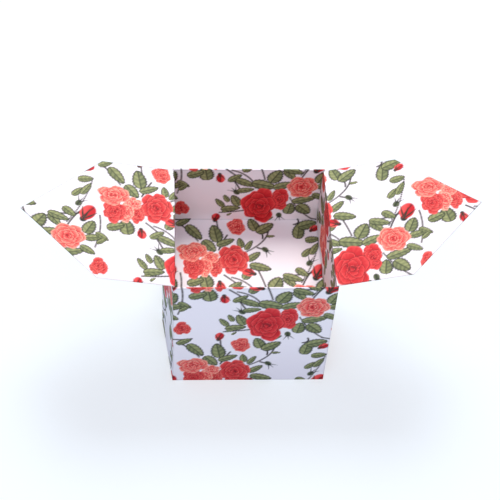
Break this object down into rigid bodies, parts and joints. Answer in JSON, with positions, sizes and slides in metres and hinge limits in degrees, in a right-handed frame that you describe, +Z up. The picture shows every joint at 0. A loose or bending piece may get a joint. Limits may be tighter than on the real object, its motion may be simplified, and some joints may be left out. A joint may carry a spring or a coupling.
{
  "type": "origami box",
  "caption": "Folded paper box: an open square tray on a hollow stand, with a hinged pointed wing on each side, in a rose print.",
  "frame": {"origin": "middle of the foot, at the level that the box stands on", "axes": "+Z up, +X towards the right wing, -Y the front face"},
  "size_m": [0.1527, 0.0538, 0.0649],
  "materials": {
    "printed_paper": "matt white paper with a rose print on its outer face"
  },
  "bodies": {
    "box": {"folded_box": "printed_paper"},
    "wing_left": {"left_wing": "printed_paper"},
    "wing_right": {"right_wing": "printed_paper"}
  },
  "joints": [
    {"name": "left_wing_crease", "type": "hinge", "parent": "box", "child": "wing_left", "pos_m": [-0.02635, 0, 0.0523], "axis": [0, 1, 0], "range_deg": [-8, 108]},
    {"name": "right_wing_crease", "type": "hinge", "parent": "box", "child": "wing_right", "pos_m": [0.02635, 0, 0.0523], "axis": [0, -1, 0], "range_deg": [-12, 104]}
  ]
}
